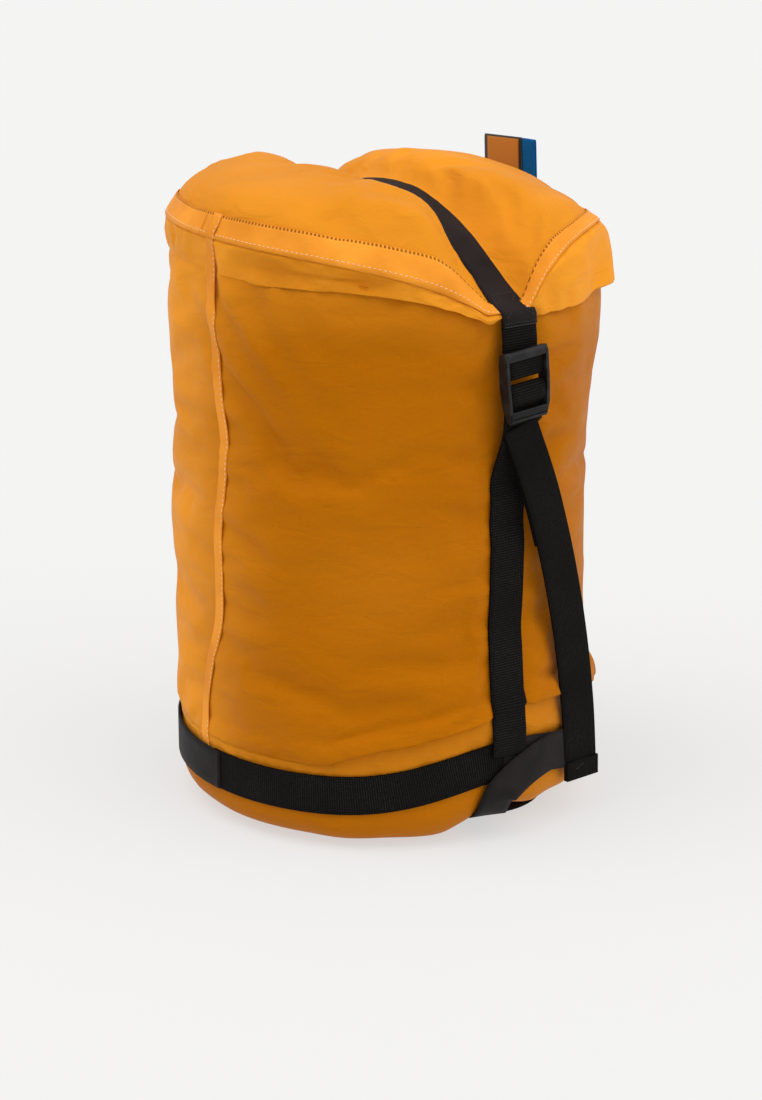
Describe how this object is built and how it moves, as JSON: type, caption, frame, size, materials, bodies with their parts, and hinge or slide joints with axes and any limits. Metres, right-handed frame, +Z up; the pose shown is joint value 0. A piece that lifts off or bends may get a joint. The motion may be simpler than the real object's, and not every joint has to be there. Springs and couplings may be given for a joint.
{
  "type": "compression sack",
  "caption": "Round fabric sack with a domed sewn end, a cap over its mouth and webbing straps with ladder locks that draw the two ends together.",
  "frame": {"origin": "middle of the footprint, on the surface the sack stands on", "axes": "+Z up from the cap to the domed end; the front strap and its ladder lock face -Y, the rear ones +Y; the side seam is at -X"},
  "size_m": [0.2754, 0.295, 0.409],
  "materials": {
    "orange_nylon": "thin coated nylon with a fine square grid, satin, brighter where it stands off the filling",
    "orange_tape": "folded seam tape with cream stitching",
    "black_webbing": "ribbed nylon webbing, matte",
    "black_twill": "smooth twill band, matte",
    "blue_webbing": "narrow woven loop, matte",
    "gold_weave": "plain woven label with a dark border, no text",
    "black_plastic": "moulded acetal, fine satin"
  },
  "bodies": {
    "base": {"cap_panel": "orange_nylon", "ring_webbing_ribbed": "black_webbing", "ring_band_smooth": "black_twill", "base_band": "black_twill", "side_panel": "orange_nylon", "side_seam_tape": "orange_tape", "mouth_gather": "orange_nylon", "mouth_hem": "orange_nylon", "front_strap_rise": "black_webbing", "rear_strap_rise": "black_webbing"},
    "top_end": {"upper_side_panel": "orange_nylon", "end_panel": "orange_nylon", "rim_seam_tape": "orange_tape", "upper_seam_tape": "orange_tape", "top_band": "black_twill", "front_upper_webbing": "black_webbing", "rear_upper_webbing": "black_webbing"},
    "front_lock": {"front_ladder_lock": "black_plastic", "front_strap_thread": "black_webbing"},
    "rear_lock": {"rear_ladder_lock": "black_plastic", "rear_strap_thread": "black_webbing"},
    "front_tail_swing": {"front_tail_root": "black_webbing"},
    "front_tail": {"front_strap_tail": "black_webbing"},
    "rear_tail_swing": {"rear_tail_root": "black_webbing"},
    "rear_tail": {"rear_strap_tail": "black_webbing"},
    "handle": {"carry_handle": "black_webbing"},
    "loop": {"hang_loop": "blue_webbing"},
    "label": {"woven_label": "gold_weave"}
  },
  "joints": [
    {"name": "compress", "type": "slide", "parent": "base", "child": "top_end", "axis": [0, 0, -1], "range_m": [0, 0.08], "deforming": ["front_strap_rise", "rear_strap_rise"]},
    {"name": "front_lock_tilt", "type": "hinge", "parent": "top_end", "child": "front_lock", "pos_m": [0, -0.1429, 0.316], "axis": [-1, 0, 0], "range_deg": [0, 40]},
    {"name": "rear_lock_tilt", "type": "hinge", "parent": "top_end", "child": "rear_lock", "pos_m": [0, 0.1429, 0.316], "axis": [1, 0, 0], "range_deg": [0, 40]},
    {"name": "front_tail_pull", "type": "hinge", "parent": "top_end", "child": "front_tail_swing", "pos_m": [0, -0.1395, 0.2742], "axis": [-1, 0, 0], "range_deg": [0, 58]},
    {"name": "rear_tail_pull", "type": "hinge", "parent": "top_end", "child": "rear_tail_swing", "pos_m": [0, 0.1395, 0.2742], "axis": [1, 0, 0], "range_deg": [0, 58]},
    {"name": "front_strap_feed", "type": "slide", "parent": "front_tail_swing", "child": "front_tail", "axis": [0.2756, 0, -0.9613], "range_m": [0, 0.08]},
    {"name": "rear_strap_feed", "type": "slide", "parent": "rear_tail_swing", "child": "rear_tail", "axis": [-0.2756, 0, -0.9613], "range_m": [0, 0.08]},
    {"name": "handle_lift", "type": "hinge", "parent": "base", "child": "handle", "pos_m": [0, -0.045, 0.0012], "axis": [1, 0, 0], "range_deg": [0, 85]},
    {"name": "loop_fold", "type": "hinge", "parent": "top_end", "child": "loop", "pos_m": [0.13662, 0.01872, 0.381], "axis": [-0.1357, 0.9907, 0], "range_deg": [-15, 75]},
    {"name": "label_fold", "type": "hinge", "parent": "top_end", "child": "label", "pos_m": [0.1318, 0.03954, 0.381], "axis": [-0.2874, 0.9578, 0], "range_deg": [-15, 75]}
  ],
  "couplings": [
    {"joint": "front_strap_feed", "follows": "compress", "ratio": 1},
    {"joint": "rear_strap_feed", "follows": "compress", "ratio": 1},
    {"joint": "front_tail_pull", "follows": "compress", "rad_per_m": 12.6},
    {"joint": "rear_tail_pull", "follows": "compress", "rad_per_m": 12.6}
  ]
}
